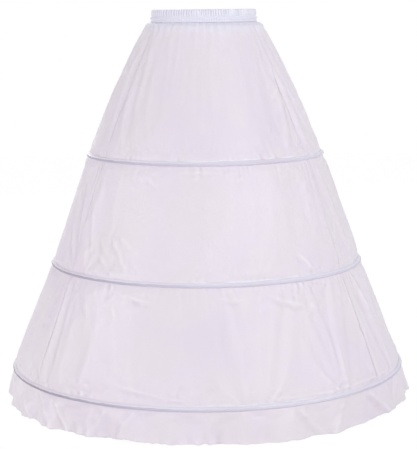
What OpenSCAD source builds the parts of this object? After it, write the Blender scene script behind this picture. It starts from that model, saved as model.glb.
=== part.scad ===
// Three-hoop skirt with an elastic waistband, four gores, hoop casings and a gathered flounce.
// Millimetres, +Z up. The origin is the centre of the waist opening, at the top of the waistband.
// The centre front faces -Y. Angles are taken from the centre front, positive towards +X.

/* [Waistband] */
// Inside diameter of the waistband as worn
waist_d = 245; // [235:1:250]
// Height of the waistband
band_h = 30; // [30:1:36]
// Gathers round the waistband
band_gathers = 120; // [60:12:144]
// Depth of the gathers in the waistband
band_gather_depth = 2.4; // [1:0.2:3]
// Width of the elastic
elastic_w = 22; // [16:0.5:22]
// Thickness of the elastic
elastic_t = 1.2; // [1:0.1:2]

/* [Hoops] */
// Diameter of the skirt at the upper hoop
upper_d = 580; // [560:2:620]
// Diameter of the skirt at the middle hoop
middle_d = 766; // [740:2:800]
// Diameter of the skirt at the lower hoop
lower_d = 970; // [930:2:1010]
// Drop from the top of the waistband to the upper hoop
upper_drop = 352; // [330:2:370]
// Drop from the top of the waistband to the middle hoop
middle_drop = 617; // [590:2:640]
// Drop from the top of the waistband to the lower hoop
lower_drop = 876; // [850:2:890]
// Outside diameter of the hoop tube
tube_d = 4; // [3.6:0.2:5]
// Bore of the hoop tube
tube_bore_d = 2; // [1.6:0.2:2.4]
// Length of the plug that closes each hoop
plug_l = 60; // [40:2:80]
// Thickness of the plug's collar
collar_t = 2; // [1:0.2:4]
// Height of the casing above the hoop's centre
casing_above = 5; // [4.5:0.5:8]
// Height of the casing below the hoop's centre
casing_below = 4; // [4:0.5:6]
// How far the cloth is drawn in under each casing
inset = 2.5; // [1:0.5:4]

/* [Skirt] */
// Thickness of the cloth
cloth_t = 0.7; // [0.6:0.1:0.9]
// Angle from the centre front to each front seam
seam_angle = 56.25; // [45:3.75:67.5]
// Depth of the gathers under the waistband
gather_depth = 2.5; // [1:0.5:3]
// Depth of the long folds at the sides
fold_depth = 3; // [0:0.5:5]
// Fullness of the upper tier over a straight line
fullness = 5; // [0:0.5:10]

/* [Flounce] */
// Height from the top of the waistband to the hem
skirt_h = 952; // [930:2:1000]
// Diameter of the hem, between the waves
hem_d = 996; // [960:2:1020]
// Waves round the flounce
waves = 30; // [24:2:36]
// Depth of the waves at the hem
wave_depth = 8; // [3:0.5:12]

/* [Hidden] */
$fn = 96;
// Columns of cloth round the skirt, and their angle
columns = 96;
step = 360 / columns;
// Columns of cloth round the flounce
flounce_columns = 5 * waves;
flounce_step = 360 / flounce_columns;
// Radius of the waist's bore, and of the two walls of the elastic's channel
bore_r = waist_d / 2;
channel_in = bore_r + cloth_t;
channel_out = channel_in + elastic_t;
// Heights of the three hoops, and radii of the cloth there
hoop_z = [-upper_drop, -middle_drop, -lower_drop];
hoop_r = [upper_d / 2, middle_d / 2, lower_d / 2];
tube_r = tube_d / 2;
sleeve_r = tube_r + cloth_t;
// Where the cloth leaves the waistband, and where its shoulder ends
band_z = -band_h;
shoulder_z = band_z - 32;
shoulder_r = bore_r + 33;
// Lower edge of the gores, where the flounce is sewn on
edge_z = hoop_z[2] - casing_below - 2;
// How far each tier of cloth stays from a casing before it runs straight
ease = 18;
// Fall of the cloth under a casing, as width over height
fall = 0.38;

// Radius on straight lines from hoop to hoop
function straight(z) = lookup(z, [
    [hoop_z[2], hoop_r[2]], [hoop_z[1], hoop_r[1]], [hoop_z[0], hoop_r[0]], [shoulder_z, shoulder_r]]);

// Radius of the cloth drawn in under a casing
function seat_r(k, z) = hoop_r[k] - inset + fall * (hoop_z[k] - z);

// Heights at which the cloth eases in above a casing, meets its two edges, and eases out below it
function upper_z(k) = hoop_z[k] + casing_above;
function lower_z(k) = hoop_z[k] - casing_below;

// Radius of the smooth cloth against height, from the lower edge up
profile = [
    [edge_z, seat_r(2, edge_z)],
    for (k = [2 : -1 : 0]) each [
        if (k < 2) [hoop_z[k] - ease, straight(hoop_z[k] - ease)],
        [lower_z(k), seat_r(k, lower_z(k))],
        [upper_z(k), seat_r(k, upper_z(k))],
        [hoop_z[k] + ease, straight(hoop_z[k] + ease)],
    ],
    [shoulder_z, shoulder_r],
    [band_z - 20, bore_r + 27],
    [band_z - 8, bore_r + 21],
    [band_z - 2, bore_r + 12],
    [band_z, channel_out],
];

// Heights of the rows of cloth, top to bottom
rows = [
    band_z + 7.3, band_z, band_z - 2, band_z - 8, band_z - 20, shoulder_z,
    shoulder_z - 80, shoulder_z - 170, hoop_z[0] + ease, upper_z(0),
    lower_z(0), hoop_z[0] - ease, hoop_z[0] - 90, hoop_z[0] - 175, hoop_z[1] + ease, upper_z(1),
    lower_z(1), hoop_z[1] - ease, hoop_z[1] - 90, hoop_z[1] - 170, hoop_z[2] + ease, upper_z(2), edge_z,
];

function clamp01(v) = max(0, min(1, v));

// Share of the way down from one height to another
function between(z, top, bottom) = clamp01((top - z) / (top - bottom));

// One swell that starts and ends at nothing between two hoops
function swell(z, top, bottom) = sin(180 * between(z, top, bottom));

// The sides carry the long folds, and the centre front and back lie smooth
function side_share(a) = clamp01((abs(sin(a)) - 0.45) / 0.35);

// Gathers that spring from the waistband, peak and valley by turns, and die out down the cloth
function gather(a, z) =
    z > band_z - 1 ? 0 :
    gather_depth * cos(180 * a / step) * (0.75 + 0.25 * sin(7 * a + 40))
    * exp((z - band_z) / 18) * (1 - between(z, 2 * shoulder_z, hoop_z[0] + ease));

// Long folds down the sides of each tier
function long_fold(a, z) =
    fold_depth * side_share(a) * (
        cos(24 * a + 34 * sin(5 * a)) * swell(z, band_z - 8, upper_z(0))
        + 0.8 * cos(20 * a + 40 * sin(3 * a) + 60) * swell(z, lower_z(0), upper_z(1))
        + 0.9 * cos(20 * a + 30 * sin(4 * a) + 150) * swell(z, lower_z(1), upper_z(2))
    );

function cloth_r(a, z) =
    lookup(z, profile) + fullness * swell(z, shoulder_z, hoop_z[0] + ease)
    + gather(a, z) + long_fold(a, z);

function at(a, r, z) = [r * sin(a), -r * cos(a), z];

// Closed cloth between an outer and an inner grid of points, row by row, open at its two sides or a ring
module cloth(outer, inner, ring) {
    m = len(outer);
    n = len(outer[0]);
    last = ring ? n - 1 : n - 2;
    pts = concat([for (row = outer) each row], [for (row = inner) each row]);
    half = m * n;
    polyhedron(pts, concat(
        [for (j = [0 : m - 2], i = [0 : last], k = [0 : 1]) let (p = j * n + i, q = j * n + (i + 1) % n)
            k == 0 ? [p, q, q + n] : [p, q + n, p + n]],
        [for (j = [0 : m - 2], i = [0 : last], k = [0 : 1])
            let (p = half + j * n + i, q = half + j * n + (i + 1) % n)
            k == 0 ? [p, q + n, q] : [p, p + n, q + n]],
        [for (i = [0 : last], k = [0 : 1]) let (p = i, q = (i + 1) % n)
            k == 0 ? [p, half + p, half + q] : [p, half + q, q]],
        [for (i = [0 : last], k = [0 : 1]) let (p = (m - 1) * n + i, q = (m - 1) * n + (i + 1) % n)
            k == 0 ? [p, half + q, half + p] : [p, q, half + q]],
        ring ? [] : [for (j = [0 : m - 2], k = [0 : 1]) let (p = j * n)
            k == 0 ? [p, p + n, half + p + n] : [p, half + p + n, half + p]],
        ring ? [] : [for (j = [0 : m - 2], k = [0 : 1]) let (p = j * n + n - 1)
            k == 0 ? [p, half + p + n, p + n] : [p, half + p, half + p + n]]
    ));
}

// Inside of the cloth, which fills the elastic's channel where it is sewn in
function lining_r(a, z) = z >= band_z ? channel_in / cos(step / 2) : cloth_r(a, z) - cloth_t;

module gore(from, to) {
    spans = [from : step : to];
    cloth(
        [for (z = rows) [for (a = spans) at(a, cloth_r(a, z), z)]],
        [for (z = rows) [for (a = spans) at(a, lining_r(a, z), z)]],
        false
    );
}

module front_panel() {
    color([0.90, 0.87, 0.92]) gore(-seam_angle, seam_angle);
}

module right_panel() {
    color([0.90, 0.87, 0.92]) gore(seam_angle, 180 - seam_angle);
}

module back_panel() {
    color([0.90, 0.87, 0.92]) gore(180 - seam_angle, 180 + seam_angle);
}

module left_panel() {
    color([0.90, 0.87, 0.92]) gore(180 + seam_angle, 360 - seam_angle);
}

// Section of the waistband: a strip folded over the elastic, with a stitched groove and a tunnel outside
module band_section() {
    polygon([
        [bore_r, 0], [channel_out + 2.2, 0], [channel_out + 3.4, -1.2], [channel_out + 3.4, -15.4],
        [channel_out + 4.6, -16.6], [channel_out + 5.8, -18.8], [channel_out + 5.8, -22],
        [channel_out + 4.6, -24.2], [channel_out + 3.4, -25.8], [channel_out + 3.4, -27],
        [channel_out + 4.6, -28.4], [channel_out + 4.6, -band_h], [channel_out, -band_h],
        [channel_out, -cloth_t], [channel_in, -cloth_t], [channel_in, -band_h], [bore_r, -band_h],
    ]);
}

// Outline of the gathers seen from above, peak and valley by turns
module band_gather_outline() {
    polygon([for (i = [0 : 2 * band_gathers - 1]) let (a = 180 * i / band_gathers)
        (channel_out + 3.6 + (i % 2 == 0 ? band_gather_depth + 0.6 : -band_gather_depth))
        * [cos(a), sin(a)]]);
}

module waistband() {
    color([0.91, 0.90, 0.95]) intersection() {
        rotate_extrude() band_section();
        translate([0, 0, -band_h - 1]) linear_extrude(band_h + 2) band_gather_outline();
    }
}

module waist_elastic() {
    color([0.93, 0.93, 0.92]) translate([0, 0, -cloth_t - elastic_w]) difference() {
        cylinder(r = channel_out, h = elastic_w);
        translate([0, 0, -1]) cylinder(r = channel_in, h = elastic_w + 2);
    }
}

// Where a casing's upper and lower edges lie on the cloth, and the hoop's own centre
function upper_edge(k) = [seat_r(k, upper_z(k)), upper_z(k)];
function lower_edge(k) = [seat_r(k, lower_z(k)), lower_z(k)];
function hoop_c(k) = [seat_r(k, hoop_z[k]) + sleeve_r + 0.4, hoop_z[k]];

// Angle at which a straight line from an edge meets the sleeve round the hoop
function lean(p, c) = atan2(p[1] - c[1], p[0] - c[0]);
function reach(p, c) = acos(sleeve_r / norm(p - c));

// Strip wrapped round a hoop: down from its upper stitching, over the hoop, and back under it
module casing(k) {
    c = hoop_c(k);
    first = lean(upper_edge(k), c) - reach(upper_edge(k), c);
    last = lean(lower_edge(k), c) + reach(lower_edge(k), c);
    color([0.91, 0.90, 0.95]) rotate_extrude() difference() {
        polygon(concat(
            [lower_edge(k), upper_edge(k)],
            [for (s = [0 : 14]) let (a = first + (last - first) * s / 14) c + sleeve_r * [cos(a), sin(a)]]
        ));
        translate(c) circle(tube_r);
    }
}

module upper_casing() {
    casing(0);
}

module middle_casing() {
    casing(1);
}

module lower_casing() {
    casing(2);
}

// Angle that a length takes up round a hoop
function turn(k, l) = l / hoop_c(k)[0] * 180 / PI;

// Tube open at the centre back, where the joiner's collar stands between its ends
module hoop(k) {
    open = turn(k, collar_t);
    color([0.95, 0.95, 0.94]) rotate([0, 0, 90 + open / 2]) rotate_extrude(angle = 360 - open)
        translate(hoop_c(k)) difference() {
            circle(tube_r);
            circle(tube_bore_d / 2);
        }
}

module upper_hoop() {
    hoop(0);
}

module middle_hoop() {
    hoop(1);
}

module lower_hoop() {
    hoop(2);
}

// Plug in both ends of a hoop, with a collar as wide as the tube
module joiner(k) {
    long = turn(k, plug_l);
    thin = turn(k, collar_t);
    color([0.85, 0.85, 0.86]) {
        rotate([0, 0, 90 - long / 2]) rotate_extrude(angle = long)
            translate(hoop_c(k)) circle(tube_bore_d / 2);
        rotate([0, 0, 90 - thin / 2]) rotate_extrude(angle = thin)
            translate(hoop_c(k)) circle(tube_r);
    }
}

module upper_joiner() {
    joiner(0);
}

module middle_joiner() {
    joiner(1);
}

module lower_joiner() {
    joiner(2);
}

// Waves of the flounce, uneven in width and depth, deepest at the hem
function wave(a, drop) =
    wave_depth * (0.15 + 0.85 * drop) * (0.8 + 0.2 * sin(4 * a + 70))
    * cos(waves * a + 50 * sin(3 * a) + 30 * sin(7 * a + 20)) * clamp01(drop * 6);

// Hem line, a little uneven
function hem_z(a) = -skirt_h + 1.5 * (1 + sin(5 * a + 30) * cos(9 * a));

function flounce_z(a, drop) = edge_z + (hem_z(a) - edge_z) * drop;
function flounce_r(a, drop) =
    lookup(edge_z, profile) + (hem_d / 2 - lookup(edge_z, profile)) * drop + wave(a, drop);

module flounce() {
    drops = [0, 0.25, 0.6, 1];
    spans = [for (i = [0 : flounce_columns - 1]) i * flounce_step];
    color([0.89, 0.86, 0.91]) cloth(
        [for (d = drops) [for (a = spans) at(a, flounce_r(a, d), flounce_z(a, d))]],
        [for (d = drops) [for (a = spans) at(a, flounce_r(a, d) - cloth_t, flounce_z(a, d))]],
        true
    );
}

waistband();
waist_elastic();
front_panel();
right_panel();
back_panel();
left_panel();
upper_casing();
middle_casing();
lower_casing();
upper_hoop();
middle_hoop();
lower_hoop();
upper_joiner();
middle_joiner();
lower_joiner();
flounce();
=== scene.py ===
# Hoop skirt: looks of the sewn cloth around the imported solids, with a studio floor, lights and camera.
# Metres, in the part's own frame: the origin is the centre of the waist opening, the front faces -Y.

import math

import bpy
import numpy as np
from mathutils import Matrix, Vector


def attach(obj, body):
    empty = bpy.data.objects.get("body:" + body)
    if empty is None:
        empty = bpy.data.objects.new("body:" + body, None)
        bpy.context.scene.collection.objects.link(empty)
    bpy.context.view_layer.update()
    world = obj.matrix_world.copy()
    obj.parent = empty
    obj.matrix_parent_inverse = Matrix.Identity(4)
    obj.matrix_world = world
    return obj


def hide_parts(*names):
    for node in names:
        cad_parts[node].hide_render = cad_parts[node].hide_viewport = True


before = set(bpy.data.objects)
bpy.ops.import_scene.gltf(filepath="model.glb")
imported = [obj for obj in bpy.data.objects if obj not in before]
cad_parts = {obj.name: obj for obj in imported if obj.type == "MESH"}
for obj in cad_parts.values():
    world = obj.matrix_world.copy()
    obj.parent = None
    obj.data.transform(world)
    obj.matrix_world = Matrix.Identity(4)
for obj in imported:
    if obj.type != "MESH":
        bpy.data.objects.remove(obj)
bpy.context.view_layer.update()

# Sizes that the cloth shares with the solids

BORE_R = 0.1225
CHANNEL_IN = BORE_R + 0.0007
CHANNEL_OUT = CHANNEL_IN + 0.0012
BAND_Z = -0.030
SHOULDER_Z = BAND_Z - 0.032
SHOULDER_R = BORE_R + 0.033
HOOP_Z = (-0.352, -0.617, -0.876)
HOOP_R = (0.290, 0.383, 0.485)
TUBE_R = 0.002
SLEEVE_R = TUBE_R + 0.0007
CASING_ABOVE = 0.005
CASING_BELOW = 0.004
INSET = 0.0025
EASE = 0.018
FALL = 0.38
EDGE_Z = HOOP_Z[2] - CASING_BELOW - 0.002
HEM_Z = -0.952
HEM_R = 0.498
SEAM = 56.25

# How deep the cloth folds, and how far down the gathers reach

GATHER_DEPTH = 0.0032
GATHER_FADE = 0.024
FINE_GATHER_FADE = 0.014
FOLD_DEPTH = 0.003
FULLNESS = 0.005
WAVE_DEPTH = 0.008


def sind(degrees):
    return np.sin(np.radians(degrees))


def cosd(degrees):
    return np.cos(np.radians(degrees))


def straight(z):
    return np.interp(z, [*HOOP_Z[::-1], SHOULDER_Z], [*HOOP_R[::-1], SHOULDER_R])


def seat(k, z):
    return HOOP_R[k] - INSET + FALL * (HOOP_Z[k] - z)


# Radius of the smooth cloth against height, from the lower edge up

outline = [(EDGE_Z, seat(2, EDGE_Z))]
for k in (2, 1, 0):
    upper, lower = HOOP_Z[k] + CASING_ABOVE, HOOP_Z[k] - CASING_BELOW
    if k < 2:
        outline.append((HOOP_Z[k] - EASE, straight(HOOP_Z[k] - EASE)))
    outline += [(lower, seat(k, lower)), (upper, seat(k, upper))]
    outline.append((HOOP_Z[k] + EASE, straight(HOOP_Z[k] + EASE)))
outline += [
    (SHOULDER_Z, SHOULDER_R), (BAND_Z - 0.020, BORE_R + 0.027), (BAND_Z - 0.008, BORE_R + 0.021),
    (BAND_Z - 0.002, BORE_R + 0.012), (BAND_Z, CHANNEL_OUT),
]
PROFILE_Z, PROFILE_R = zip(*outline)

# Top and bottom of each tier of free cloth

TIERS = (
    (BAND_Z - 0.008, HOOP_Z[0] + CASING_ABOVE),
    (HOOP_Z[0] - CASING_BELOW, HOOP_Z[1] + CASING_ABOVE),
    (HOOP_Z[1] - CASING_BELOW, HOOP_Z[2] + CASING_ABOVE),
)


def profile(z):
    return np.interp(z, PROFILE_Z, PROFILE_R)


def between(z, top, bottom):
    return np.clip((top - z) / (top - bottom), 0, 1)


def swell(z, top, bottom):
    return np.sin(math.pi * between(z, top, bottom))


def smooth(v):
    v = np.clip(v, 0, 1)
    return v * v * (3 - 2 * v)


def side_share(a):
    return np.clip((np.abs(sind(a)) - 0.45) / 0.35, 0, 1)


def seam_gap(a):
    """Degrees from the nearest of the four seams."""
    turn = np.abs((a + 180) % 360 - 180)
    return np.minimum(np.abs(turn - SEAM), np.abs(turn - 180 + SEAM))


def gather(a, z):
    """Gathers that spring from the waistband and die out down the cloth."""
    below = BAND_Z - z
    depth = GATHER_DEPTH * (0.75 + 0.25 * sind(7 * a + 40)) * np.exp(-below / GATHER_FADE)
    wide = cosd(48 * a + 40 * sind(5 * a + 70) + 25 * sind(11 * a))
    fine = cosd(96 * a + 60 * sind(7 * a) + 50 * sind(4 * a + 30))
    pinch = 0.8 * wide - 0.2 * wide * wide + 0.5 * fine * np.exp(-below / FINE_GATHER_FADE)
    return np.where(below < 0.001, 0, depth * pinch) * smooth(below / 0.003)


def long_fold(a, z):
    """Long folds down the sides of each tier."""
    first = cosd(24 * a + 34 * sind(5 * a)) * swell(z, *TIERS[0])
    second = 0.8 * cosd(20 * a + 40 * sind(3 * a) + 60) * swell(z, *TIERS[1])
    third = 0.9 * cosd(20 * a + 30 * sind(4 * a) + 150) * swell(z, *TIERS[2])
    return FOLD_DEPTH * side_share(a) * (first + second + third)


def full_r(z):
    return profile(z) + FULLNESS * swell(z, SHOULDER_Z, HOOP_Z[0] + EASE)


# Smooth random waves round the skirt, periodic in angle, the same on every run


def ripple(seed, lowest, highest, count):
    rng = np.random.default_rng(seed)
    waves = []
    for _ in range(count):
        order, phase = rng.integers(lowest, highest + 1), rng.uniform(0, 360)
        waves.append((order, phase, rng.normal(), rng.normal(), rng.uniform(0, 360)))

    def field(a, s):
        total = 0
        for k, phase, amp, tilt, turn in waves:
            total = total + amp * cosd(k * a + phase + 360 * tilt * s + 25 * sind(3 * a + turn))
        return total / math.sqrt(count)

    return field


# Mesh from a grid of points, rows by columns, with a map in metres along and across the cloth


def hollows(height, ring):
    """How far each point lies below the cloth around it, in millimetres."""
    wrap = "wrap" if ring else "edge"
    total = 0
    for down, across in ((2, 0), (-2, 0), (0, 3), (0, -3), (1, 2), (-1, -2), (1, -2), (-1, 2)):
        rows = np.pad(height, ((2, 2), (0, 0)), "edge")[2 + down:2 + down + len(height)]
        total = total + np.pad(rows, ((0, 0), (3, 3)), wrap)[:, 3 + across:3 + across + height.shape[1]]
    return 1000 * (total / 8 - height)


def grid_piece(name, pts, ring, material, thick=0.0, hollow_shade=None, flaps=0):
    m, n = pts.shape[:2]
    last = n if ring else n - 1
    j, i = np.meshgrid(np.arange(m - 1), np.arange(last), indexing="ij")
    k = (i + 1) % n
    quads = np.stack([j * n + i, (j + 1) * n + i, (j + 1) * n + k, j * n + k], -1).reshape(-1, 4)
    me = bpy.data.meshes.new(name)
    me.from_pydata(pts.reshape(-1, 3).tolist(), [], quads.tolist())
    down = np.linalg.norm(np.diff(pts, axis=0), axis=2).mean(1)
    v = np.concatenate([[0], np.cumsum(down)])
    closed = np.concatenate([pts, pts[:, :1]], 1) if ring else pts
    across = np.linalg.norm(np.diff(closed, axis=1), axis=2).mean(0)
    u = np.concatenate([[0], np.cumsum(across)])
    corner_u = np.stack([u[i], u[i], u[i + 1], u[i + 1]], -1).reshape(-1)
    corner_v = np.stack([v[j], v[j + 1], v[j + 1], v[j]], -1).reshape(-1)
    uv = me.uv_layers.new(name="cloth")
    uv.data.foreach_set("uv", np.stack([corner_u, -corner_v], -1).reshape(-1))
    me.polygons.foreach_set("use_smooth", ((i >= flaps) & (i < last - flaps)).reshape(-1))
    me.materials.append(material)
    if hollow_shade is not None:
        me.attributes.new("hollow_shade", "FLOAT", "POINT").data.foreach_set("value", hollow_shade.reshape(-1))
    me.update()
    ob = bpy.data.objects.new(name, me)
    bpy.context.scene.collection.objects.link(ob)
    if thick:
        solid = ob.modifiers.new("thickness", "SOLIDIFY")
        solid.thickness = thick
        solid.offset = -1
    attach(ob, "root")
    return ob


def ring_points(a, r, z):
    return np.stack(np.broadcast_arrays(r * sind(a), -r * cosd(a), z), -1)


# Flat shape of a ring of cloth: wider than the ring by one share and longer down the slope by another


def cut_points(a, r, z, spare, slack):
    wide = r * (1 + spare)
    slope = np.hypot(np.diff(r, axis=0), np.diff(z, axis=0)) * (1 + slack)
    drop = np.sqrt(np.maximum(slope ** 2 - np.diff(wide, axis=0) ** 2, 1e-9))
    height = z[:1] - np.concatenate([0 * z[:1], np.cumsum(drop, axis=0)])
    return ring_points(a, wide, height)


# Settle a ring of cloth by simulation: rows marked as held stay, the rest finds its own folds


def settle(pts, cut, held, frames, gravity, bend):
    m, n = pts.shape[:2]
    quads = [
        (j * n + i, (j + 1) * n + i, (j + 1) * n + (i + 1) % n, j * n + (i + 1) % n)
        for j in range(m - 1) for i in range(n)
    ]
    me = bpy.data.meshes.new("settling")
    me.from_pydata(pts.reshape(-1, 3).tolist(), [], quads)
    ob = bpy.data.objects.new("settling", me)
    scene = bpy.context.scene
    scene.collection.objects.link(ob)
    group = ob.vertex_groups.new(name="held")
    group.add([int(q) for q in np.flatnonzero(np.repeat(held, n))], 1.0, "REPLACE")
    ob.shape_key_add(name="Basis")
    key = ob.shape_key_add(name="cut")
    key.data.foreach_set("co", cut.reshape(-1))
    key.value = 0
    # The cloth takes its cut from the key only after a modifier that makes a new mesh
    split = ob.modifiers.new("split", "EDGE_SPLIT")
    split.use_edge_angle = False
    split.use_edge_sharp = False
    cloth = ob.modifiers.new("cloth", "CLOTH")
    s = cloth.settings
    s.quality = 5
    s.mass = 0.05
    s.tension_stiffness = 60
    s.compression_stiffness = 60
    s.shear_stiffness = 20
    s.bending_stiffness = bend
    s.tension_damping = 20
    s.compression_damping = 20
    s.shear_damping = 20
    s.bending_damping = 0.5
    s.air_damping = 4
    s.vertex_group_mass = "held"
    s.rest_shape_key = key
    s.effector_weights.gravity = gravity
    cloth.collision_settings.use_collision = False
    cloth.point_cache.frame_start = 1
    cloth.point_cache.frame_end = frames
    for f in range(1, frames + 1):
        scene.frame_set(f)
    shown = ob.evaluated_get(bpy.context.evaluated_depsgraph_get())
    out = np.zeros(m * n * 3)
    shown.data.vertices.foreach_get("co", out)
    bpy.data.objects.remove(ob)
    bpy.data.meshes.remove(me)
    scene.frame_set(1)
    return out.reshape(m, n, 3)


# Materials


def socket(node, name):
    return next(s for s in node.inputs if s.name == name and s.enabled)


class Graph:
    """A material's nodes, added one after another and joined by name."""

    def __init__(self, name):
        self.material = bpy.data.materials.new(name)
        self.material.use_nodes = True
        self.tree = self.material.node_tree
        self.shader = self.tree.nodes["Principled BSDF"]

    def add(self, kind, **values):
        node = self.tree.nodes.new(kind)
        for key, value in values.items():
            if key in node.inputs:
                node.inputs[key].default_value = value
            else:
                setattr(node, key, value)
        return node

    def join(self, out, into):
        self.tree.links.new(out, into)

    def math(self, how, *values):
        node = self.add("ShaderNodeMath", operation=how)
        for slot, value in zip(node.inputs, values):
            if isinstance(value, (int, float)):
                slot.default_value = value
            else:
                self.join(value, slot)
        return node.outputs[0]

    def blend(self, factor, a, b):
        node = self.add("ShaderNodeMix", data_type="RGBA")
        self.join(factor, node.inputs["Factor"])
        for name, value in (("A", a), ("B", b)):
            if isinstance(value, tuple):
                socket(node, name).default_value = value
            else:
                self.join(value, socket(node, name))
        return next(o for o in node.outputs if o.enabled)

    def ramp(self, value, start, stop, low, high):
        node = self.add("ShaderNodeMapRange", interpolation_type="SMOOTHSTEP")
        self.join(value, node.inputs["Value"])
        for name, number in (("From Min", start), ("From Max", stop), ("To Min", low), ("To Max", high)):
            node.inputs[name].default_value = number
        return node.outputs[0]

    def set(self, **values):
        for key, value in values.items():
            self.shader.inputs[key.replace("_", " ")].default_value = value


def linear(r, g, b):
    def one(c):
        c = c / 255
        return c / 12.92 if c <= 0.04045 else ((c + 0.055) / 1.055) ** 2.4

    return (one(r), one(g), one(b), 1)


def darker(colour, share):
    return tuple(share * c for c in colour[:3]) + (1,)


# Machine stitches: their pitch, the share of it that shows, and half the thread's width

STITCH_PITCH = 0.0026
STITCH_SHARE = 0.72
STITCH_HALF_WIDTH = 0.0003


def cloth_material(
    name, pale, deep, thread, rough, sheen, weave_strength,
    stitches=(), hoop=None, top=None, warm=None, hoop_highlights=None, crinkle=0.0,
):
    """Plain woven cloth: threads each way, slubs, a slow drift of colour, and rows of stitches."""
    g = Graph(name)
    uv = g.add("ShaderNodeUVMap", uv_map="cloth")
    parts = g.add("ShaderNodeSeparateXYZ")
    g.join(uv.outputs[0], parts.inputs[0])
    along, down = parts.outputs["X"], parts.outputs["Y"]
    where = g.add("ShaderNodeTexCoord").outputs["Object"]
    slow = g.add("ShaderNodeTexNoise", Scale=3.2, Detail=3.0)
    g.join(where, slow.inputs["Vector"])
    slub_map = g.add("ShaderNodeMapping")
    slub_map.inputs["Scale"].default_value = (40, 900, 1)
    g.join(uv.outputs[0], slub_map.inputs["Vector"])
    slub = g.add("ShaderNodeTexNoise", Scale=1.0, Detail=2.0)
    g.join(slub_map.outputs[0], slub.inputs["Vector"])
    drift = g.math("MULTIPLY_ADD", slow.outputs["Fac"], 2.2, -0.65)
    colour = g.blend(g.math("MULTIPLY_ADD", slub.outputs["Fac"], 0.25, drift), deep, pale)
    if warm:
        mottle = g.add("ShaderNodeTexNoise", Scale=8.0, Detail=2.0)
        g.join(where, mottle.inputs["Vector"])
        colour = g.blend(g.ramp(mottle.outputs["Fac"], 0.42, 0.62, 0.0, 0.7), colour, warm)
    heights = []
    for axis in ("X", "Y"):
        wave = g.add("ShaderNodeTexWave", bands_direction=axis, wave_profile="SIN")
        wave.inputs["Scale"].default_value = math.pi / (10 * thread)
        wave.inputs["Distortion"].default_value = 0.3
        g.join(uv.outputs[0], wave.inputs["Vector"])
        heights.append(wave.outputs["Fac"])
    height = g.math("MULTIPLY_ADD", slub.outputs["Fac"], 0.6, g.math("MAXIMUM", *heights))
    place = g.add("ShaderNodeSeparateXYZ")
    g.join(where, place.inputs[0])
    ragged = g.add("ShaderNodeTexNoise", Scale=45.0, Detail=3.0)
    g.join(where, ragged.inputs["Vector"])
    ragged = g.math("SUBTRACT", ragged.outputs["Fac"], 0.5)
    if top:
        # Painted light: paler and bluer towards the waist, where the shoulder of the gathers faces up to the
        # light from above
        start, stop, tint, share = top
        level = g.math("MULTIPLY_ADD", ragged, 0.03, place.outputs["Z"])
        colour = g.blend(g.ramp(level, start, stop, 0.0, share), colour, tint)
    if hoop_highlights:
        # Painted highlight: a paler, bluer band just above each hoop, none on the left flank, strongest just
        # right of centre and faint at the far right, where the light from the upper right falls
        heights_z, reach, tint, share = hoop_highlights
        from_left = g.ramp(place.outputs["X"], -0.20, 0.05, 0.0, share)
        to_right = g.ramp(place.outputs["X"], 0.15, 0.35, 1.0, 0.2)
        toward = g.math("MULTIPLY", from_left, to_right)
        for hoop_z in heights_z:
            rise = g.math("SUBTRACT", g.math("MULTIPLY_ADD", ragged, 0.012, place.outputs["Z"]), hoop_z)
            lower_edge = g.ramp(rise, 0.0, 0.002, 0.0, 1.0)
            upper_edge = g.ramp(rise, 0.6 * reach, reach, 1.0, 0.0)
            over = g.math("MULTIPLY", lower_edge, upper_edge)
            colour = g.blend(g.math("MULTIPLY", over, toward), colour, tint)
    if hoop:
        # Painted shade: a dark line along the lower part of the strip, under the tube, faint at the centre
        # and strongest on the left flank, away from the light, and at the far right, where the whole strip is
        # darkened too
        centre, half, left_tint, right_tint = hoop
        drawn = g.ramp(place.outputs["X"], -0.48, 0.10, 1.0, 0.0)
        far = g.ramp(place.outputs["X"], 0.25, 0.50, 0.0, 0.45)
        gap = g.math("ABSOLUTE", g.math("ADD", g.math("MULTIPLY_ADD", ragged, 0.004, down), centre))
        over = g.ramp(gap, 0.6 * half, half, 1.0, 0.0)
        flank_shade = g.math("MAXIMUM", drawn, far)
        over = g.math("MULTIPLY", over, g.math("MULTIPLY_ADD", flank_shade, 0.75, 0.25))
        colour = g.blend(g.math("MULTIPLY", flank_shade, 0.7), colour, deep)
        colour = g.blend(over, colour, g.blend(drawn, right_tint, left_tint))
    for row in stitches:
        near = g.math("LESS_THAN", g.math("ABSOLUTE", g.math("ADD", down, row)), STITCH_HALF_WIDTH)
        dash = g.math("LESS_THAN", g.math("FRACT", g.math("DIVIDE", along, STITCH_PITCH)), STITCH_SHARE)
        sewn = g.math("MULTIPLY", near, dash)
        colour = g.blend(g.math("MULTIPLY", sewn, 0.6), colour, darker(deep, 0.8))
        height = g.math("MULTIPLY_ADD", sewn, 1.5, height)
    # Painted shade in the hollows of the cloth and painted highlight on its ridges
    hollow_shade = g.add("ShaderNodeAttribute", attribute_name="hollow_shade").outputs["Fac"]
    colour = g.blend(g.ramp(hollow_shade, 0.0, 1.2, 0.0, 0.40), colour, darker(deep, 0.78))
    colour = g.blend(g.ramp(hollow_shade, -1.0, 0.0, 0.38, 0.0), colour, linear(250, 248, 252))
    g.join(colour, g.shader.inputs["Base Color"])
    bump = g.add("ShaderNodeBump", Strength=weave_strength, Distance=0.0002)
    g.join(height, bump.inputs["Height"])
    if crinkle:
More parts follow.
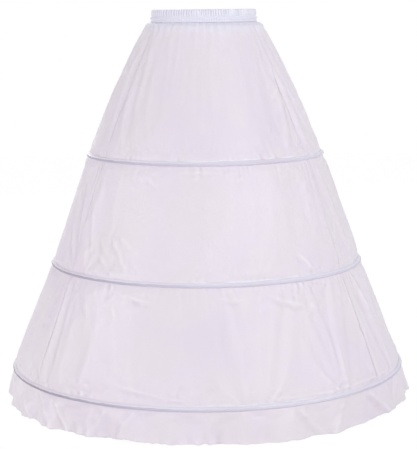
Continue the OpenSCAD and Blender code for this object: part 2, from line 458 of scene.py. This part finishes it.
        # Small creases, left by wear and packing, in patches
        fold = g.add("ShaderNodeTexNoise", Scale=42.0, Detail=2.0, Distortion=1.2)
        g.join(where, fold.inputs["Vector"])
        crest = g.math("ABSOLUTE", g.math("SUBTRACT", fold.outputs["Fac"], 0.5))
        patchy = g.math("MULTIPLY", crest, g.ramp(slow.outputs["Fac"], 0.40, 0.62, 0.25, 1.0))
        soft = g.add("ShaderNodeBump", Strength=1.0, Distance=crinkle)
        soft.invert = True
        g.join(patchy, soft.inputs["Height"])
        g.join(soft.outputs[0], bump.inputs["Normal"])
    g.join(bump.outputs[0], g.shader.inputs["Normal"])
    roughness = g.math("MULTIPLY_ADD", slub.outputs["Fac"], 0.12, rough - 0.06)
    g.join(roughness, g.shader.inputs["Roughness"])
    g.set(Sheen_Weight=sheen, Sheen_Roughness=0.4, Specular_IOR_Level=0.5)
    return g.material


def plastic_material(name, colour, rough):
    """Smooth extruded plastic with faint draw marks."""
    g = Graph(name)
    where = g.add("ShaderNodeTexCoord").outputs["Object"]
    noise = g.add("ShaderNodeTexNoise", Scale=220.0, Detail=3.0)
    g.join(where, noise.inputs["Vector"])
    g.join(g.blend(noise.outputs["Fac"], darker(colour, 0.94), colour), g.shader.inputs["Base Color"])
    roughness = g.math("MULTIPLY_ADD", noise.outputs["Fac"], 0.15, rough)
    g.join(roughness, g.shader.inputs["Roughness"])
    bump = g.add("ShaderNodeBump", Strength=0.1, Distance=0.0001)
    g.join(noise.outputs["Fac"], bump.inputs["Height"])
    g.join(bump.outputs[0], g.shader.inputs["Normal"])
    return g.material


# Skirt cloth, with painted light paler towards the waist and a painted highlight above each hoop
skirt_cloth = cloth_material(
    "skirt_cloth", linear(238, 232, 240), linear(228, 219, 232), 0.0006, 0.42, 0.15, 0.2,
    top=(-0.064, -0.036, linear(232, 233, 246), 0.6), warm=linear(234, 227, 232),
    hoop_highlights=(HOOP_Z, 0.011, linear(241, 244, 252), 0.8), crinkle=0.002,
)
band_cloth = cloth_material(
    "band_cloth", linear(236, 236, 248), linear(226, 224, 239), 0.0005, 0.42, 0.25, 0.2,
    stitches=(0.0035, 0.0165),
)
# Casing cloth, with painted shade along the underside of each hoop
casing_cloth = cloth_material(
    "casing_cloth", linear(243, 242, 252), linear(228, 221, 233), 0.0005, 0.42, 0.2, 0.2,
    stitches=(0.0014, 0.0165), hoop=(0.0110, 0.0042, linear(160, 151, 166), linear(166, 168, 200)),
)
elastic_cloth = cloth_material("elastic", linear(240, 240, 238), linear(228, 228, 226), 0.0012, 0.7, 0.1, 0.6)
tube_plastic = plastic_material("hoop_tube", linear(244, 244, 242), 0.25)
plug_plastic = plastic_material("joiner", linear(226, 226, 228), 0.45)

# Skirt: one ring of cloth settles between the hoops, and is then cut into its four gores at the seams


def spread_rows(rows):
    """Heights from (stop, spacing, held) down the cloth, and whether each row is held."""
    heights, held = [rows[0][0]], [True]
    for stop, spacing, fixed in rows[1:]:
        first = heights[-1]
        count = max(1, round((first - stop) / spacing))
        for step in range(1, count + 1):
            heights.append(first + (stop - first) * step / count)
            held.append(fixed or (step == count and any(stop == tier[1] for tier in TIERS)))
    return np.array(heights), np.array(held)


def spare_width(a, z):
    """Share of extra width in the cut: least at the centre front, most by the seams and under hoops."""
    uneven = np.clip(0.5 + ripple(7, 3, 16, 12)(a, 1.5 * z), 0, 2)
    side = 0.0015 + 0.004 * side_share(a) * uneven + 0.009 * np.exp(-((seam_gap(a) / 9) ** 2))
    under = sum(np.where(z <= top, np.exp(-(top - z) / 0.012), 0) for top, _ in TIERS[1:])
    return side + 0.005 * uneven * under


SETTLE_COLUMNS = 384
SKIRT_SLACK = 0.0025
SKIRT_FOLD_LIMIT = 0.008
SKIRT_FIRST_WAVE = 5
coarse_z, held = spread_rows((
    (TIERS[0][0],), (SHOULDER_Z, 0.005, False), (TIERS[0][1], 0.0075, False),
    (TIERS[1][0], 0.005, True), (TIERS[1][1], 0.0075, False),
    (TIERS[2][0], 0.005, True), (TIERS[2][1], 0.0075, False), (EDGE_Z, 0.006, True),
))
a, z = np.meshgrid(np.arange(SETTLE_COLUMNS) * 360 / SETTLE_COLUMNS, coarse_z)
base = full_r(z)
free = ~held[:, None]
start = base + free * (long_fold(a, z) + 0.0006 * ripple(5, 12, 60, 40)(a, 2 * z))
rest = cut_points(a, base, z, spare_width(a, z), SKIRT_SLACK)
settled = settle(ring_points(a, start, z), rest, held, frames=14, gravity=0.1, bend=0.8)
moved_r = np.hypot(settled[..., 0], settled[..., 1]) - base

# The hoops keep the ring round, so only its shorter waves stay, and they are shallower at the front and back

waves = np.fft.rfft(moved_r, axis=1)
waves[:, :SKIRT_FIRST_WAVE] = 0
moved_r = np.fft.irfft(waves, SETTLE_COLUMNS, axis=1)
level = np.where(z > HOOP_Z[0], 0.25, 0.55)
calm = level + (1 - level) * smooth((np.abs(sind(a)) - 0.4) / 0.3)
moved_r = SKIRT_FOLD_LIMIT * np.tanh(moved_r / SKIRT_FOLD_LIMIT) * calm
moved_z = settled[..., 2] - z
turned = np.degrees(np.arctan2(settled[..., 0], -settled[..., 1])) - a
turned = (turned + 180) % 360 - 180

# Finer grid of the same cloth, for its gathers, creases and puckers

SKIRT_COLUMNS = 960
NEAR = 0.030
fine_rows = [
    (BAND_Z + 0.0068,), (BAND_Z, 0.0034, True), (BAND_Z - 0.008, 0.001, False), (SHOULDER_Z, 0.0024, False),
]
for k, (top, bottom) in enumerate(TIERS):
    if k:
        fine_rows += [(top, 0.003, True), (top - NEAR, 0.003, False)]
    fine_rows += [(bottom + NEAR, 0.0055, False), (bottom, 0.003, False)]
fine_rows.append((EDGE_Z, 0.004, True))
fine_z = spread_rows(fine_rows)[0]


def refine(field):
    rows = np.stack([np.interp(-fine_z, -coarse_z, column) for column in field.T], 1)
    return np.fft.irfft(np.fft.rfft(rows, axis=1), SKIRT_COLUMNS, axis=1) * SKIRT_COLUMNS / SETTLE_COLUMNS


A, Z = np.meshgrid(np.arange(SKIRT_COLUMNS) * 360 / SKIRT_COLUMNS, fine_z)


def ridge(x, y, first, last, depth, width):
    """Height of a ridge from one place to another, with a shallow valley beside it. All in millimetres."""
    way = np.subtract(last, first)
    length = math.hypot(*way)
    t = ((x - first[0]) * way[0] + (y - first[1]) * way[1]) / length ** 2
    across = ((x - first[0]) * way[1] - (y - first[1]) * way[0]) / length
    ends = smooth((t + 0.1) / 0.35) * smooth((1.1 - t) / 0.35)
    width = width * (0.4 + 0.6 * ends)
    crest = np.exp(-((across / width) ** 2)) - 0.6 * np.exp(-(((across - 1.7 * width) / (1.2 * width)) ** 2))
    return depth / 1000 * crest * ends


def arc_mm(degrees, height_mm):
    """Distance round the smooth cloth from the centre front."""
    return np.radians(degrees) * profile(np.asarray(height_mm) / 1000) * 1000


# Larger creases: degrees and height in mm of both ends, then depth and width in mm

CREASES = (
    (-64, -86, -58, -300, 4.0, 10), (56, -92, 44, -335, 3.6, 11), (62, -108, 60, -321, 3.4, 9),
    (72, -116, 73, -307, 3.6, 10), (-70, -403, -57, -567, -4.0, 11), (-54, -423, -48, -555, 3.4, 9),
    (48, -389, 46, -495, 3.2, 10), (36, -557, 42, -607, 3.0, 7), (-12, -367, 4, -371, 1.8, 5),
    (-52, -655, -50, -828, 3.0, 9), (64, -663, 67, -719, 3.0, 8), (-26, -832, -6, -858, 2.4, 7),
    (16, -864, 62, -856, 2.0, 6), (-38, -520, -30, -580, 2.4, 9), (-44, -560, -36, -600, 2.2, 8),
    (20, -640, 34, -672, 2.0, 7), (-30, -640, -18, -655, 1.8, 6), (2, -640, 12, -650, 1.6, 6),
)

# Places where small creases crowd: angle, height, half spreads of both, how many, and their lean from upright

CLUSTERS = (
    (-40, -550, 12, 40, 18, 10, 60), (35, -652, 16, 22, 14, 30, 85), (-36, -650, 16, 20, 12, 30, 85),
    (0, -846, 45, 16, 22, 60, 88), (58, -210, 10, 90, 8, 5, 25), (56, -490, 12, 80, 12, 5, 30),
    (-60, -200, 12, 90, 10, 5, 25), (-62, -480, 10, 80, 12, 5, 30), (150, -560, 25, 40, 16, 10, 70),
    (190, -845, 50, 16, 22, 60, 88), (205, -655, 25, 20, 14, 30, 85), (5, -375, 40, 10, 14, 50, 88),
)
SCATTERED = 160
HOOP_REACH_MM = 60
rng = np.random.default_rng(17)
crumples = []


def far_end(at_a, at_z, lean, long):
    """Degrees and height in mm of the other end of a crease that leans from upright."""
    return at_a + math.degrees(long * sind(lean) / 1000 / profile(at_z / 1000)), at_z - long * cosd(lean)


for _ in range(SCATTERED):
    at_a, at_z = rng.uniform(-180, 180), rng.uniform(-870, -60)
    lean, long = rng.choice((-1, 1)) * rng.uniform(20, 85), rng.uniform(30, 100)
    depth, width = rng.normal(0, 0.7), rng.uniform(5, 12)
    hoop_gap = min(abs(at_z - 1000 * hoop_z) for hoop_z in HOOP_Z)
    if abs(sind(at_a)) > 0.6 or hoop_gap < HOOP_REACH_MM:
        crumples.append((at_a, at_z, *far_end(at_a, at_z, lean, long), depth, width))
for mid_a, mid_z, wide_a, wide_z, count, lean_from, lean_to in CLUSTERS:
    for _ in range(count):
        at_a, at_z = mid_a + wide_a * rng.uniform(-1, 1), mid_z + wide_z * rng.uniform(-1, 1)
        lean, long = rng.choice((-1, 1)) * rng.uniform(lean_from, lean_to), rng.uniform(20, 60)
        depth, width = rng.uniform(0.4, 1.2), rng.uniform(5, 9)
        crumples.append((at_a, at_z, *far_end(at_a, at_z, lean, long), depth, width))

# The shape: creases over the free cloth, then puckers drawn up along each casing

CASING_FADE = 0.012
PUCKER_BELOW = 0.0013
PUCKER_ABOVE = 0.0009
radius = full_r(Z) + gather(A, Z) + refine(moved_r)
free = np.zeros_like(Z)
for top, bottom in TIERS:
    free += smooth((top - Z) / CASING_FADE) * smooth((Z - bottom) / CASING_FADE)
arc = arc_mm((A + 180) % 360 - 180, Z * 1000)
for start_a, start_z, stop_a, stop_z, depth, width in (*CREASES, *crumples):
    first, last = (arc_mm(start_a, start_z), start_z), (arc_mm(stop_a, stop_z), stop_z)
    radius += free * ridge(arc, Z * 1000, first, last, depth, width)
for k, (top, bottom) in enumerate(TIERS):
    here = np.clip(0.5 + ripple(81 + k, 5, 30, 14)(A, 0 * Z), 0.15, 1.8)
    if k:
        below = np.maximum(top - Z, 0)
        tuck = ripple(61 + k, 50, 170, 50)(A, 9 * Z) * np.exp(-below / 0.015) * smooth(below / 0.004)
        radius += PUCKER_BELOW * here * np.where(Z < top, tuck, 0)
    over = np.maximum(Z - bottom, 0)
    tuck = ripple(64 + k, 30, 130, 50)(A, 9 * Z) * np.exp(-over / 0.016) * smooth(over / 0.006)
    radius += PUCKER_ABOVE * here * np.where(Z > bottom, tuck, 0)
radius = np.where(Z >= BAND_Z, CHANNEL_IN + 0.0008, radius)
sewn = (Z < BAND_Z - 0.008) * 1.0
skirt = ring_points(A + sewn * refine(turned), radius, Z + sewn * refine(moved_z))
# Depth of each hollow, for painted shade in the hollows and painted highlight on the ridges, fading out
# towards the waist
skirt_hollow_shade = 0.6 * hollows(radius - full_r(Z), True) * smooth((BAND_Z + 0.004 - Z) / 0.030)

# Cut at the seams, with each edge dipped into its seam and turned back inside

ALLOWANCE = 0.011
FLAP_WIDTHS = np.array([0.0002, 0.003, 0.007, ALLOWANCE])
FLAP_DEPTHS = np.array([0.0004, 0.0012, 0.0014, 0.0016])
FLAP_COLUMNS = len(FLAP_WIDTHS)
SEAM_DIP = 0.00025
SEAM_REACH = 0.003
COLUMN_ANGLE = math.radians(360 / SKIRT_COLUMNS)


def gore(name, node, first, last):
    first_column, last_column = (round(degrees * SKIRT_COLUMNS / 360) for degrees in (first, last))
    columns = np.arange(first_column, last_column + 1) % SKIRT_COLUMNS
    pts = skirt[:, columns].copy()
    radius = np.hypot(pts[..., 0], pts[..., 1])
    out = np.stack([pts[..., 0] / radius, pts[..., 1] / radius, 0 * radius], -1)
    order = np.arange(len(columns))
    ends = np.minimum(order, order[::-1]) * COLUMN_ANGLE
    pull = 0.8 + 0.35 * np.sin(pts[..., 2] * 520) + 0.25 * np.sin(pts[..., 2] * 233 + 1)
    below_band = pts[..., 2] < BAND_Z - 0.004
    dip = SEAM_DIP * pull * np.exp(-((ends[None, :] * radius / SEAM_REACH) ** 2)) * below_band
    pts -= out * dip[..., None]
    flaps = []
    for inward in (pts, pts[:, ::-1]):
        step = np.hypot(inward[:, 0, 0], inward[:, 0, 1])[:, None] * COLUMN_ANGLE
        place = FLAP_WIDTHS / step
        near = place.astype(int)
        part = (place - near)[..., None]
        row = np.arange(len(inward))[:, None]
        flap = inward[row, near] * (1 - part) + inward[row, near + 1] * part
        across = np.hypot(flap[..., 0], flap[..., 1])
        below = (FLAP_DEPTHS * (flap[..., 2] < BAND_Z - 0.001) / across)[..., None]
        flaps.append(flap - flap * (1, 1, 0) * below)
    whole = np.concatenate([flaps[0][:, ::-1], pts, flaps[1]], 1)
    hollow_shade = np.pad(skirt_hollow_shade[:, columns], ((0, 0), (FLAP_COLUMNS, FLAP_COLUMNS)))
    piece = grid_piece(name, whole, False, skirt_cloth, hollow_shade=hollow_shade, flaps=FLAP_COLUMNS)
    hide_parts(node)


gore("front_gore", "front_panel", -SEAM, SEAM)
gore("right_gore", "right_panel", SEAM, 180 - SEAM)
gore("back_gore", "back_panel", 180 - SEAM, 180 + SEAM)
gore("left_gore", "left_panel", 180 + SEAM, 360 - SEAM)

# Hoop casings: a strip wrapped round each hoop, its two edges stitched to the cloth

STRIP_THICK = 0.0004
CASING_COLUMNS = 768
casing_a = np.arange(CASING_COLUMNS) * 360 / CASING_COLUMNS


def casing(name, node, k):
    top = np.array([seat(k, HOOP_Z[k] + CASING_ABOVE), HOOP_Z[k] + CASING_ABOVE])
    low = np.array([seat(k, HOOP_Z[k] - CASING_BELOW), HOOP_Z[k] - CASING_BELOW])
    centre = np.array([seat(k, HOOP_Z[k]) + SLEEVE_R + 0.0004, HOOP_Z[k]])
    sleeve = SLEEVE_R + 0.0001

    def tangent(p, sign):
        d = p - centre
        toward = math.degrees(math.atan2(d[1], d[0]))
        return toward + sign * math.degrees(math.acos(sleeve / np.hypot(*d)))

    arc = np.linspace(tangent(top, -1), tangent(low, 1), 14)
    path = [top + (0.0003, 0.0016), top + (0.0006, 0.0004)]
    path += [centre + sleeve * np.array([cosd(t), sind(t)]) for t in arc]
    path += [low + (0.0006, 0.0002), low + (0.0002, -0.0008)]
    path = np.array(path)
    flow = np.gradient(path, axis=0)
    normal = np.stack([flow[:, 1], -flow[:, 0]], -1)
    normal /= -np.linalg.norm(normal, axis=1, keepdims=True)
    s = np.concatenate([[0], np.cumsum(np.linalg.norm(np.diff(path, axis=0), axis=1))])
    a, t = np.meshgrid(casing_a, s / s[-1])
    wrinkle = ripple(11 + k, 60, 150, 40)
    sway = ripple(31 + k, 4, 40, 14)
    puff = 0.00015 * wrinkle(a, 0.5 * t) * np.sin(math.pi * t) + 0.0002 * np.maximum(sway(a, 0.2 * t), 0)
    puff *= smooth(t * 8) * smooth((1 - t) * 8)
    shift = 0.0010 * sway(a + 40, 0 * t) * np.exp(-((t / 0.12) ** 2))
    r = path[:, 0][:, None] + normal[:, 0][:, None] * puff - shift * FALL
    z = path[:, 1][:, None] + normal[:, 1][:, None] * puff + shift
    piece = grid_piece(name, ring_points(a, r, z), True, casing_cloth, STRIP_THICK)
    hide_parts(node)


casing("upper_sleeve", "upper_casing", 0)
casing("middle_sleeve", "middle_casing", 1)
casing("lower_sleeve", "lower_casing", 2)

# Waistband: a strip folded over the elastic and drawn up into fine gathers

BAND_COLUMNS = 1200
OUT = CHANNEL_OUT

# Fold of the strip in section, radius and height, from its lower outer edge up, over and down inside

band_path = np.array([
    [OUT + 0.0005, -0.0298], [OUT + 0.0036, -0.0303], [OUT + 0.0052, -0.0304], [OUT + 0.0057, -0.0296],
    [OUT + 0.0052, -0.0286], [OUT + 0.0042, -0.0275], [OUT + 0.0036, -0.0264], [OUT + 0.0037, -0.0255],
    [OUT + 0.0044, -0.0244], [OUT + 0.0053, -0.0231], [OUT + 0.0057, -0.0216], [OUT + 0.0056, -0.0202],
    [OUT + 0.0050, -0.0188], [OUT + 0.0040, -0.0176], [OUT + 0.0030, -0.0167], [OUT + 0.0026, -0.0160],
    [OUT + 0.0029, -0.0150], [OUT + 0.0033, -0.0132], [OUT + 0.0035, -0.0108], [OUT + 0.0035, -0.0082],
    [OUT + 0.0033, -0.0057], [OUT + 0.0029, -0.0035], [OUT + 0.0022, -0.0017], [OUT + 0.0012, -0.0006],
    [OUT - 0.0002, -0.0002], [OUT - 0.0011, -0.0007], [OUT - 0.0015, -0.0022], [OUT - 0.0015, -0.0060],
    [OUT - 0.0015, -0.0120], [OUT - 0.0015, -0.0200], [OUT - 0.0015, -0.0260], [OUT - 0.0015, -0.0296],
])
step_s = np.linalg.norm(np.diff(band_path, axis=0), axis=1)
band_s = np.concatenate([[0], np.cumsum(step_s)])
SEWN_LINES = (-0.0264, -0.0160)
stitch = np.min([np.abs(band_path[:, 1] - sewn_z) for sewn_z in SEWN_LINES], axis=0)
loose = smooth(stitch / 0.004)
outside = np.clip((band_path[:, 0] - OUT + 0.0008) / 0.003, 0, 1)
a, t = np.meshgrid(np.arange(BAND_COLUMNS) * 360 / BAND_COLUMNS, band_s)
drift = 40 * sind(5 * a + 20) + 26 * sind(13 * a) + 18 * sind(29 * a + 50)
groove = (0.5 + 0.5 * cosd(98 * a + 1089 * sind(2 * a) + drift + 15 * np.sin(t * 260))) ** 1.5
fine_rib = 0.75 - 2 * groove
wide_rib = cosd(70 * a + 0.5 * drift + 20 * np.sin(t * 120 + 1))
ribbed = smooth((band_path[:, 1] + 0.0185) / 0.003)
depth = (0.00030 + 0.00095 * loose * (0.35 + 0.65 * ribbed)) * (0.25 + 0.75 * outside)
rib = depth[:, None] * (0.8 * fine_rib + 0.2 * wide_rib) * (1.0 + 0.6 * sind(-a) + 0.2 * sind(9 * a))
rib += 0.0003 * outside[:, None] * ripple(51, 3, 24, 10)(a, t * 4)
r = band_path[:, 0][:, None] + rib
r = np.where(band_path[:, 0][:, None] < OUT - 0.001, np.maximum(r, BORE_R + 0.0001), r)
band_points = ring_points(a, r, band_path[:, 1][:, None] + 0 * a)
# Painted shade in the grooves between the ribs and painted highlight on their crests, on the ribbed outside
# of the band
hollow_shade = -1.3 * rib * 1000 * outside[:, None] * ribbed[:, None]
band = grid_piece("waistband_cloth", band_points, True, band_cloth, STRIP_THICK, hollow_shade)
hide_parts("waistband")

# Flounce: a gathered strip sewn under the lowest hoop, which settles into its folds, with a turned hem

FLOUNCE_TOP = profile(EDGE_Z)


def flounce_wave(a, drop):
    grow = (0.15 + 0.85 * drop) * np.clip(drop * 6, 0, 1)
    uneven = 0.8 + 0.2 * sind(4 * a + 70)
    return WAVE_DEPTH * grow * uneven * cosd(30 * a + 50 * sind(3 * a) + 30 * sind(7 * a + 20))


def flounce_z(a, drop):
    hem = HEM_Z + 0.0015 * (1 + sind(5 * a + 30) * cosd(9 * a))
    return EDGE_Z + 0.0022 + (hem - EDGE_Z - 0.0022) * drop


FLOUNCE_MM = 74
FLOUNCE_SLACK = 0.005
FLOUNCE_THICK = 0.0005
FLOUNCE_FOLD_LIMIT = 0.012
FLOUNCE_FIRST_WAVE = 6
FLOUNCE_LAST_WAVE = 65
RUFFLE_COLUMNS = 600
ruffle_d = np.linspace(0, 1, 15)
a, d = np.meshgrid(np.arange(RUFFLE_COLUMNS) * 360 / RUFFLE_COLUMNS, ruffle_d)
z = flounce_z(a, d)
base = FLOUNCE_TOP + (HEM_R - FLOUNCE_TOP) * d
start = base + flounce_wave(a, d) + 0.0016 * smooth(d * 4) * ripple(72, 16, 60, 40)(a, 1.4 * d)
spare = 0.025 + 0.03 * np.clip(0.6 + 0.5 * ripple(73, 3, 14, 10)(a, 0 * d), 0.1, 2)
rest = cut_points(a, base, z, spare * (0.4 + 0.9 * d) * smooth(d * 6), FLOUNCE_SLACK)
settled = settle(ring_points(a, start, z), rest, ruffle_d < 0.01, frames=16, gravity=0.1, bend=2.0)
moved = np.hypot(settled[..., 0], settled[..., 1]) - base
waves = np.fft.rfft(moved, axis=1)
waves[:, :FLOUNCE_FIRST_WAVE] = 0
waves *= np.exp(-((np.arange(waves.shape[1]) / FLOUNCE_LAST_WAVE) ** 2))
moved = np.fft.irfft(waves, RUFFLE_COLUMNS, axis=1)
moved = FLOUNCE_FOLD_LIMIT * np.tanh(moved / FLOUNCE_FOLD_LIMIT)
swung = np.degrees(np.arctan2(settled[..., 0], -settled[..., 1])) - a
swung = (swung + 180) % 360 - 180
lifted = settled[..., 2] - z

# Folds dragged slantwise from the hoop to the hem: degrees at each end, then depth and width in mm

FRONT_FOLDS = (
    (-78, -66, 4.5, 9), (-66, -55, 4.2, 8), (-55, -44, 4.0, 8), (-47, -39, 3.0, 6), (-27, -34, 3.4, 9),
    (-19, -25, 2.8, 8), (24, 33, 3.4, 9), (41, 34, 3.0, 8), (50, 59, 4.0, 9), (71, 62, 4.2, 10),
)
rng = np.random.default_rng(23)
BACK_FOLD_COUNT = 18
back_folds = []
for _ in range(BACK_FOLD_COUNT):
    at_a = rng.uniform(80, 280)
    at_a -= 360 * (at_a > 180)
    to_a = at_a + rng.choice((-1, 1)) * rng.uniform(5, 11)
    back_folds.append((at_a, to_a, rng.uniform(1.6, 2.8), rng.uniform(7, 10)))
FLOUNCE_COLUMNS = 1200
FLOUNCE_DROP = np.concatenate([[0, 0.02, 0.05, 0.09], np.linspace(0.14, 0.90, 18), [0.93, 0.96, 0.985, 1.0]])


def finer(field):
    rows = np.stack([np.interp(FLOUNCE_DROP, ruffle_d, column) for column in field.T], 1)
    waves = np.fft.rfft(rows, axis=1)
    return np.fft.irfft(waves, FLOUNCE_COLUMNS, axis=1) * FLOUNCE_COLUMNS / RUFFLE_COLUMNS


a, d = np.meshgrid(np.arange(FLOUNCE_COLUMNS) * 360 / FLOUNCE_COLUMNS, FLOUNCE_DROP)
r = FLOUNCE_TOP + (HEM_R - FLOUNCE_TOP) * d + finer(moved)
r += 0.0009 * ripple(71, 70, 150, 40)(a, 0.3 * d) * smooth(d * 10) * np.exp(-d / 0.35)
scallop = 0.0014 * np.clip(0.6 + 0.7 * ripple(76, 3, 14, 10)(a, 0 * d), 0.1, 2)
lower = smooth((d - 0.3) / 0.7)
r += 0.0005 * smooth((d - 0.86) / 0.05) + scallop * lower * ripple(74, 40, 110, 40)(a, 0.3 * d)
arc = np.radians((a + 180) % 360 - 180) * HEM_R * 1000
for start_a, stop_a, depth, width in (*FRONT_FOLDS, *back_folds):
    first = (math.radians(start_a) * HEM_R * 1000, 0.1 * FLOUNCE_MM)
    last = (math.radians(stop_a) * HEM_R * 1000, -1.15 * FLOUNCE_MM)
    r += smooth(d * 5) * ridge(arc, -d * FLOUNCE_MM, first, last, depth, width)
z = flounce_z(a, d) + finer(lifted) + 0.0014 * lower * np.abs(ripple(75, 40, 110, 40)(a, 0 * d))
z = np.maximum(z, HEM_Z)
# Painted shade in the hollows of the folds and painted highlight on their ridges, fading out at the top edge
hollow_shade = 0.45 * hollows(r, True) * smooth(d * 8)
flounce_points = ring_points(a + finer(swung), r, z)
flounce = grid_piece("flounce_cloth", flounce_points, True, skirt_cloth, FLOUNCE_THICK, hollow_shade)
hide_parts("flounce")

# Solids that stay as they are, inside the casings and the waistband

for node, material in (
    ("waist_elastic", elastic_cloth),
    ("upper_hoop", tube_plastic), ("middle_hoop", tube_plastic), ("lower_hoop", tube_plastic),
    ("upper_joiner", plug_plastic), ("middle_joiner", plug_plastic), ("lower_joiner", plug_plastic),
):
    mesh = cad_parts[node].data
    mesh.materials.clear()
    mesh.materials.append(material)

# Floor, light and camera

scene = bpy.context.scene
scene.view_settings.view_transform = "Standard"


def seen_directly(tree):
    """1 for a camera, glossy or transmission ray, and 0 for the rays that light the object."""
    path = tree.nodes.new("ShaderNodeLightPath")
    seen = path.outputs["Is Camera Ray"]
    for extra in ("Is Glossy Ray", "Is Transmission Ray"):
        either = tree.nodes.new("ShaderNodeMath")
        either.operation = "MAXIMUM"
        tree.links.new(seen, either.inputs[0])
        tree.links.new(path.outputs[extra], either.inputs[1])
        seen = either.outputs[0]
    return seen


world = bpy.data.worlds.new("studio")
scene.world = world
world.use_nodes = True
tree = world.node_tree
soft = tree.nodes["Background"]
soft.inputs["Color"].default_value = (0.98, 0.96, 1.0, 1)
soft.inputs["Strength"].default_value = 0.55
plain = tree.nodes.new("ShaderNodeBackground")
plain.inputs["Color"].default_value = (1, 1, 1, 1)
plain.inputs["Strength"].default_value = 1.0
blend = tree.nodes.new("ShaderNodeMixShader")
tree.links.new(seen_directly(tree), blend.inputs[0])
tree.links.new(soft.outputs[0], blend.inputs[1])
tree.links.new(plain.outputs[0], blend.inputs[2])
tree.links.new(blend.outputs[0], tree.nodes["World Output"].inputs["Surface"])


def area_light(name, where, target, size, watts, colour):
    data = bpy.data.lights.new(name, "AREA")
    data.shape = "RECTANGLE"
    data.size, data.size_y = size
    data.energy = watts
    data.color = colour
    ob = bpy.data.objects.new(name, data)
    ob.location = where
    ob.rotation_euler = (Vector(target) - Vector(where)).to_track_quat("-Z", "Y").to_euler()
    scene.collection.objects.link(ob)


area_light("key", (2.2, -2.4, 1.40), (0, 0, -0.5), (2.0, 2.0), 42, (0.99, 1, 1))
area_light("front", (0.4, -3.4, -0.6), (0, 0, -0.6), (1.6, 1.6), 8, (1, 1, 1))
area_light("side", (-3.0, -1.5, -0.1), (0, 0, -0.5), (1.6, 1.6), 25, (1, 0.985, 0.955))
area_light("back", (-0.5, 3.6, 0.6), (0, 0, -0.5), (2.0, 2.0), 36, (1, 1, 1))

floor_mesh = bpy.data.meshes.new("floor")
FLOOR_HALF = 6.0
FLOOR_Z = HEM_Z - 0.001
corners = [(FLOOR_HALF * x, FLOOR_HALF * y, FLOOR_Z) for x, y in ((-1, -1), (1, -1), (1, 1), (-1, 1))]
floor_mesh.from_pydata(corners, [], [(0, 1, 2, 3)])
floor = bpy.data.objects.new("floor", floor_mesh)
scene.collection.objects.link(floor)
floor_paint = bpy.data.materials.new("floor")
floor_paint.use_nodes = True
tree = floor_paint.node_tree
matte = tree.nodes["Principled BSDF"]
matte.inputs["Base Color"].default_value = (0.93, 0.93, 0.94, 1)
matte.inputs["Roughness"].default_value = 0.9
glow = tree.nodes.new("ShaderNodeEmission")
glow.inputs["Color"].default_value = (1, 1, 1, 1)
glow.inputs["Strength"].default_value = 1.02
share = tree.nodes.new("ShaderNodeMath")
share.operation = "MULTIPLY"
share.inputs[1].default_value = 0.95
tree.links.new(seen_directly(tree), share.inputs[0])
blend = tree.nodes.new("ShaderNodeMixShader")
tree.links.new(share.outputs[0], blend.inputs[0])
tree.links.new(matte.outputs[0], blend.inputs[1])
tree.links.new(glow.outputs[0], blend.inputs[2])
tree.links.new(blend.outputs[0], tree.nodes["Material Output"].inputs["Surface"])
floor_mesh.materials.append(floor_paint)

CAMERA_AT = Vector((0.0062, -3.587, 0.0))
PITCH = 8.45
ROLL = 0.6
FOCAL_PX = 1449.0
IMAGE_HEIGHT = 449
lens = bpy.data.cameras.new("camera")
lens.sensor_width = 36.0
lens.lens = FOCAL_PX / IMAGE_HEIGHT * lens.sensor_width
camera = bpy.data.objects.new("camera", lens)
camera.matrix_world = (
    Matrix.Translation(CAMERA_AT)
    @ Matrix.Rotation(math.radians(90 - PITCH), 4, "X")
    @ Matrix.Rotation(math.radians(-ROLL), 4, "Z")
)
scene.collection.objects.link(camera)
scene.camera = camera
